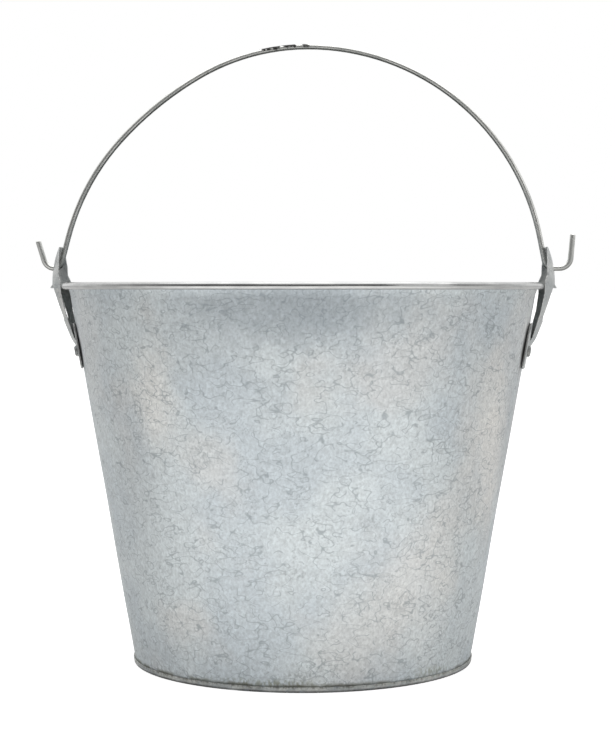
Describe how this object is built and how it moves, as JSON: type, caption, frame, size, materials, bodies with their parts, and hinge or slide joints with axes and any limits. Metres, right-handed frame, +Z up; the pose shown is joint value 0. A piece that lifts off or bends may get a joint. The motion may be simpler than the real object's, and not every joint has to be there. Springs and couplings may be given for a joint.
{
  "type": "feed bucket",
  "caption": "Round tapered sheet-metal bucket with a rolled rim, a crimped base ring, riveted ears pressed out over the rim and a swinging wire bail.",
  "frame": {"origin": "centre of the circle of the base ring that the bucket stands on, at floor level", "axes": "+Z up along the bucket's axis, +X through the right ear along the bail's pivot line, +Y to the back"},
  "size_m": [0.3383, 0.3, 0.3842],
  "materials": {
    "sheet": "hot-dip galvanised, dull spangle",
    "base_sheet": "hot-dip galvanised, dull spangle, grime at the seam",
    "rim_wire": "plain drawn wire",
    "ear_plate": "hot-dip galvanised, dull",
    "bail_wire": "galvanised drawn wire, worn at the grip",
    "rivet": "galvanised, worn"
  },
  "bodies": {
    "bucket": {"body_shell": "sheet", "rim_wire": "rim_wire", "bottom_disc": "base_sheet", "right_ear": "ear_plate", "left_ear": "ear_plate", "right_front_rivet": "rivet", "right_back_rivet": "rivet", "left_front_rivet": "rivet", "left_back_rivet": "rivet"},
    "bail": {"bail": "bail_wire"}
  },
  "joints": [
    {"name": "bail_swing", "type": "hinge", "parent": "bucket", "child": "bail", "pos_m": [0, 0, 0.2437], "axis": [1, 0, 0], "range_deg": [-95, 95]}
  ]
}
